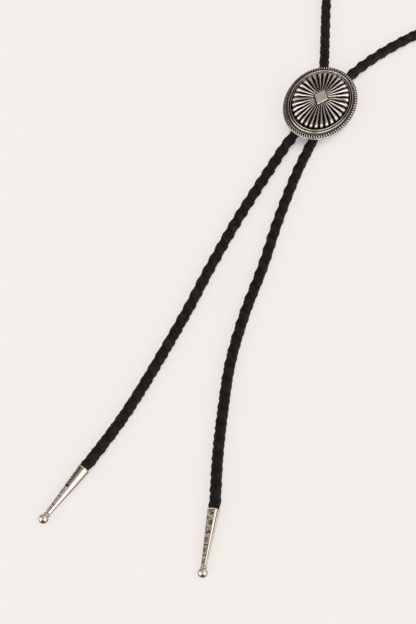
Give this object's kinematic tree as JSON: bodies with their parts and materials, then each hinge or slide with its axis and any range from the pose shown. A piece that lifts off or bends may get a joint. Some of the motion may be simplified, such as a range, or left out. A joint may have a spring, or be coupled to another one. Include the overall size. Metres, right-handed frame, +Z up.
{
  "type": "bolo tie",
  "caption": "Bolo tie with an oval fluted concho slide, a braided leather cord and slender ball-ended metal tips, laid flat.",
  "frame": {"origin": "middle of the back clip's underside, on the table, below the middle of the slide", "axes": "+Z up from the table; +Y away from the viewer, towards the neck loop; +X to the viewer's right. The slide's long axis is turned 23 degrees clockwise from +Y"},
  "size_m": [0.2411, 0.3962, 0.012],
  "materials": {
    "concho": "antiqued silver, black in the grooves, warm polished crests",
    "back_clip": "plain nickel plate, lightly brushed",
    "cord": "matte black braided leather",
    "tips": "polished silver with an antiqued engraved panel"
  },
  "bodies": {
    "root": {"concho": "concho", "back_clip": "back_clip", "braided_cord": "cord", "tip_left": "tips", "tip_right": "tips"}
  },
  "joints": []
}
